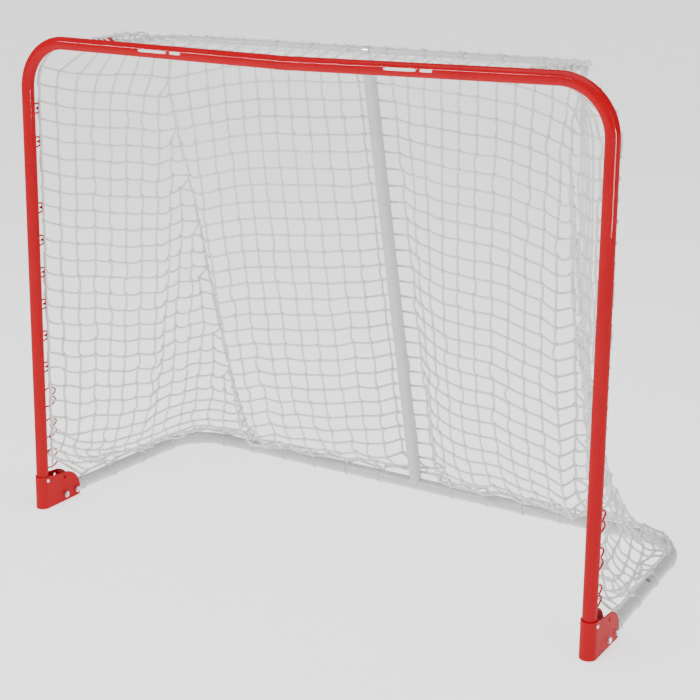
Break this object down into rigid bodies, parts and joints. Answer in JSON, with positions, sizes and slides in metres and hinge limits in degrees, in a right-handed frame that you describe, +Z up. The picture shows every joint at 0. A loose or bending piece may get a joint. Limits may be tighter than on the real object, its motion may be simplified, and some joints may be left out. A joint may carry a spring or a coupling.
{
  "type": "hockey goal net",
  "caption": "Street hockey goal: red round-tube front frame with rounded top corners, white tube base and centre support, shelf rod and white cord netting.",
  "frame": {"origin": "on the floor, midway between the sides and midway from front to back", "axes": "+X along the crossbar, +Y from the mouth to the back, +Z up"},
  "size_m": [1.4166, 0.617, 1.1176],
  "materials": {
    "red_paint": "gloss powder coat",
    "white_paint": "satin powder coat",
    "zinc": "zinc plated",
    "black_plastic": "matte",
    "white_cord": "braided cord",
    "white_net": "knotted twine"
  },
  "bodies": {
    "root": {"left_corner_tube": "red_paint", "left_crossbar_hooks": "red_paint", "left_foot_bracket": "red_paint", "left_lower_post": "red_paint", "left_post_hooks": "red_paint", "left_shelf_socket": "red_paint", "right_corner_tube": "red_paint", "right_crossbar_hooks": "red_paint", "right_foot_bracket": "red_paint", "right_lower_post": "red_paint", "right_post_hooks": "red_paint", "right_shelf_socket": "red_paint", "base_left_tube": "white_paint", "base_right_tube": "white_paint", "centre_support_tube": "white_paint", "shelf_rod": "white_paint", "base_bolts": "zinc", "base_joint_screw": "zinc", "base_nuts": "zinc", "bracket_rivets": "zinc", "crossbar_joint_screw": "zinc", "post_joint_screws": "zinc", "shelf_screws": "zinc", "support_bottom_screw": "zinc", "support_top_bolt": "zinc", "support_top_clip": "zinc", "support_top_nut": "zinc", "left_foot_cap": "black_plastic", "right_foot_cap": "black_plastic", "support_bottom_plug": "black_plastic", "crossbar_cord": "white_cord", "left_base_ties": "white_cord", "left_post_cord": "white_cord", "right_base_ties": "white_cord", "right_post_cord": "white_cord", "shelf_ties": "white_cord", "net_back_panel": "white_net", "net_left_panel": "white_net", "net_right_panel": "white_net", "net_top_panel": "white_net"}
  },
  "joints": []
}
